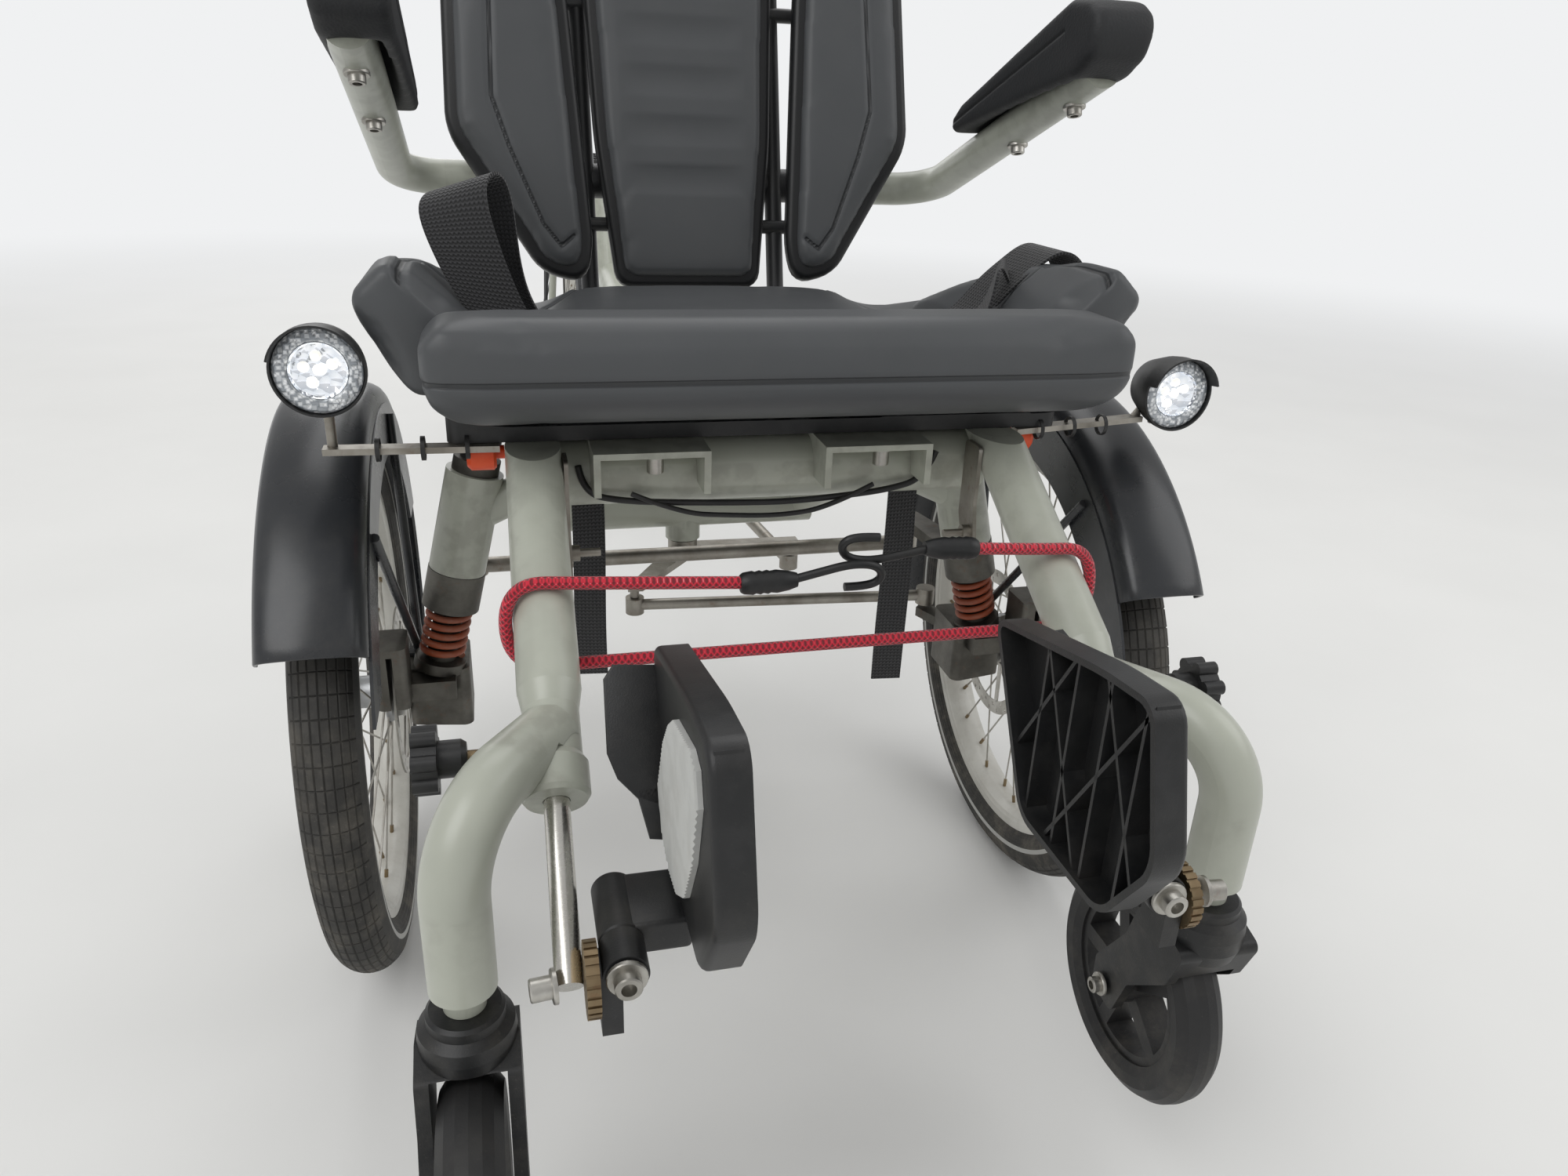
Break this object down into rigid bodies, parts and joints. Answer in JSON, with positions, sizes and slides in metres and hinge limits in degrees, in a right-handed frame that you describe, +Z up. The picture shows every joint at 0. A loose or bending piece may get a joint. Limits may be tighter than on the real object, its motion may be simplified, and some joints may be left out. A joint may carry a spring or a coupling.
{
  "type": "front-passenger tricycle",
  "caption": "Passenger seat between steered, sprung front wheels, with footplates and casters, on a pedalled bicycle rear half.",
  "frame": {"origin": "on the ground, under the middle of the vehicle's length and width", "axes": "+Z up, -Y forward (the way the passenger faces), +X to the passenger's left"},
  "size_m": [0.765, 2.6167, 1.1417],
  "materials": {
    "arm_foam": "grained black skinned foam",
    "frame_paint": "satin stone-grey paint on steel tube",
    "seat_foam": "dark grey skinned foam",
    "black_steel": "black paint on steel",
    "red_cord": "braided red sleeve",
    "black_plastic": "grained black moulding",
    "caster_rubber": "solid rubber",
    "brass_plate": "yellow-zinc plated steel",
    "steel": "zinc-plated steel",
    "alloy": "brushed aluminium",
    "tyre_rubber": "rubber with a shallow tread",
    "rim_alloy": "silver-painted rim and plain spokes",
    "grip_rubber": "ribbed rubber",
    "lamp_glass": "clear lamp lens",
    "chrome": "chromed, lightly rusted",
    "guard_plastic": "satin black moulding",
    "orange_plastic": "orange-red moulding",
    "saddle_cover": "black cover",
    "webbing": "woven black webbing",
    "spring_paint": "orange-brown coated spring steel",
    "tread_grey": "grey ribbed insert"
  },
  "bodies": {
    "root": {"backrest_centre": "seat_foam", "backrest_frame": "black_steel", "backrest_left": "seat_foam", "backrest_right": "seat_foam", "bungee_cord": "red_cord", "bungee_hooks": "black_plastic", "carrier": "black_steel", "caster_arms": "frame_paint", "chain_case": "black_plastic", "clamp_discs": "brass_plate", "foot_clamps": "black_plastic", "front_frame": "frame_paint", "lamp_bars": "steel", "lamp_housings": "black_plastic", "lamp_lenses": "lamp_glass", "leg_rods": "chrome", "pull_knobs": "orange_plastic", "rear_axle": "steel", "rear_frame": "frame_paint", "rear_mudguard": "guard_plastic", "saddle": "saddle_cover", "seat_brackets": "frame_paint", "seat_cushion": "seat_foam", "seat_post": "alloy", "seat_shell": "black_plastic", "seat_straps": "webbing", "star_knobs": "black_plastic"},
    "handlebar": {"handlebar": "alloy", "grips": "grip_rubber"},
    "knuckle_left": {"knuckle_left": "steel", "spring_left": "spring_paint", "mudguard_left": "guard_plastic"},
    "knuckle_right": {"knuckle_right": "steel", "spring_right": "spring_paint", "mudguard_right": "guard_plastic"},
    "lever": {"pitman_lever": "steel"},
    "tie_rod": {"tie_rod": "steel"},
    "drag_link": {"drag_link": "steel"},
    "column_link": {"column_link": "steel"},
    "wheel_left": {"front_wheel_left": "rim_alloy", "front_tyre_left": "tyre_rubber"},
    "wheel_right": {"front_wheel_right": "rim_alloy", "front_tyre_right": "tyre_rubber"},
    "rear_wheel": {"rear_wheel": "rim_alloy", "rear_tyre": "tyre_rubber"},
    "caster_left": {"caster_fork_left": "black_plastic"},
    "caster_wheel_left": {"caster_wheel_left": "caster_rubber"},
    "caster_right": {"caster_fork_right": "black_plastic"},
    "caster_wheel_right": {"caster_wheel_right": "caster_rubber"},
    "cranks": {"crankset": "alloy"},
    "pedal_left": {"pedal_left": "black_plastic"},
    "pedal_right": {"pedal_right": "black_plastic"},
    "footplate_left": {"footplate_left": "black_plastic", "tread_left": "tread_grey"},
    "footplate_right": {"footplate_right": "black_plastic", "tread_right": "tread_grey"},
    "armrest_left": {"arm_tube_left": "frame_paint", "arm_pad_left": "arm_foam"},
    "armrest_right": {"arm_tube_right": "frame_paint", "arm_pad_right": "arm_foam"}
  },
  "joints": [
    {"name": "steering", "type": "hinge", "parent": "root", "child": "handlebar", "pos_m": [0, 0.255, 0.47], "axis": [0, 0.2924, 0.9563], "range_deg": [-25, 25]},
    {"name": "kingpin_left", "type": "hinge", "parent": "root", "child": "knuckle_left", "pos_m": [0.233, -0.73, 0.43], "axis": [-0.2334, 0, 0.9724], "range_deg": [-25.5, 25.5]},
    {"name": "kingpin_right", "type": "hinge", "parent": "root", "child": "knuckle_right", "pos_m": [-0.233, -0.73, 0.43], "axis": [0.2334, 0, 0.9724], "range_deg": [-25.5, 25.5]},
    {"name": "steering_lever", "type": "hinge", "parent": "root", "child": "lever", "pos_m": [0, -0.48, 0.296], "axis": [0, 0, 1], "range_deg": [-15.2, 15.2]},
    {"name": "tie_rod_end", "type": "hinge", "parent": "knuckle_left", "child": "tie_rod", "pos_m": [0.232, -0.6, 0.334], "axis": [-0.2325, -0.1175, 0.9655], "range_deg": [-28.2, 28.2]},
    {"name": "drag_link_end", "type": "hinge", "parent": "lever", "child": "drag_link", "pos_m": [-0.069, -0.58, 0.2692], "axis": [-0.2173, 0.2043, 0.9545], "range_deg": [-10.1, 10.1]},
    {"name": "column_link_end", "type": "hinge", "parent": "lever", "child": "column_link", "pos_m": [0.13, -0.48, 0.2692], "axis": [0.0384, 0.0725, 0.9966], "range_deg": [-15.5, 15.5]},
    {"name": "front_wheel_left", "type": "hinge", "parent": "knuckle_left", "child": "wheel_left", "pos_m": [0.338, -0.7, 0.2525], "axis": [1, 0, 0], "continuous": true},
    {"name": "front_wheel_right", "type": "hinge", "parent": "knuckle_right", "child": "wheel_right", "pos_m": [-0.338, -0.7, 0.2525], "axis": [1, 0, 0], "continuous": true},
    {"name": "rear_wheel", "type": "hinge", "parent": "root", "child": "rear_wheel", "pos_m": [0, 0.99, 0.3], "axis": [1, 0, 0], "continuous": true},
    {"name": "caster_swivel_left", "type": "hinge", "parent": "root", "child": "caster_left", "pos_m": [0.238, -1.176, 0.303], "axis": [0, 0, 1], "continuous": true},
    {"name": "caster_wheel_left", "type": "hinge", "parent": "caster_left", "child": "caster_wheel_left", "pos_m": [0.238, -1.126, 0.186], "axis": [1, 0, 0], "continuous": true},
    {"name": "caster_swivel_right", "type": "hinge", "parent": "root", "child": "caster_right", "pos_m": [-0.238, -1.176, 0.303], "axis": [0, 0, 1], "continuous": true},
    {"name": "caster_wheel_right", "type": "hinge", "parent": "caster_right", "child": "caster_wheel_right", "pos_m": [-0.238, -1.226, 0.186], "axis": [1, 0, 0], "continuous": true},
    {"name": "cranks", "type": "hinge", "parent": "root", "child": "cranks", "pos_m": [0, 0.57, 0.3], "axis": [1, 0, 0], "continuous": true},
    {"name": "pedal_left", "type": "hinge", "parent": "cranks", "child": "pedal_left", "pos_m": [0.123, 0.735, 0.3], "axis": [1, 0, 0], "continuous": true},
    {"name": "pedal_right", "type": "hinge", "parent": "cranks", "child": "pedal_right", "pos_m": [-0.123, 0.405, 0.3], "axis": [1, 0, 0], "continuous": true},
    {"name": "footplate_left", "type": "hinge", "parent": "root", "child": "footplate_left", "pos_m": [0.154, -1.2055, 0.367], "axis": [0, -1, 0], "range_deg": [0, 90]},
    {"name": "footplate_right", "type": "hinge", "parent": "root", "child": "footplate_right", "pos_m": [-0.154, -1.2055, 0.367], "axis": [0, 1, 0], "range_deg": [0, 90]},
    {"name": "armrest_left", "type": "hinge", "parent": "root", "child": "armrest_left", "pos_m": [0.2, -0.45, 0.695], "axis": [-1, 0, 0], "range_deg": [0, 75]},
    {"name": "armrest_right", "type": "hinge", "parent": "root", "child": "armrest_right", "pos_m": [-0.2, -0.45, 0.695], "axis": [-1, 0, 0], "range_deg": [0, 75]}
  ],
  "couplings": [
    {"joint": "kingpin_left", "follows": "steering", "ratio": 1},
    {"joint": "kingpin_right", "follows": "steering", "ratio": 1},
    {"joint": "steering_lever", "follows": "steering", "ratio": -0.587},
    {"joint": "tie_rod_end", "follows": "steering", "ratio": -1.1077},
    {"joint": "drag_link_end", "follows": "steering", "ratio": 0.3824},
    {"joint": "column_link_end", "follows": "steering", "ratio": 0.5996}
  ]
}
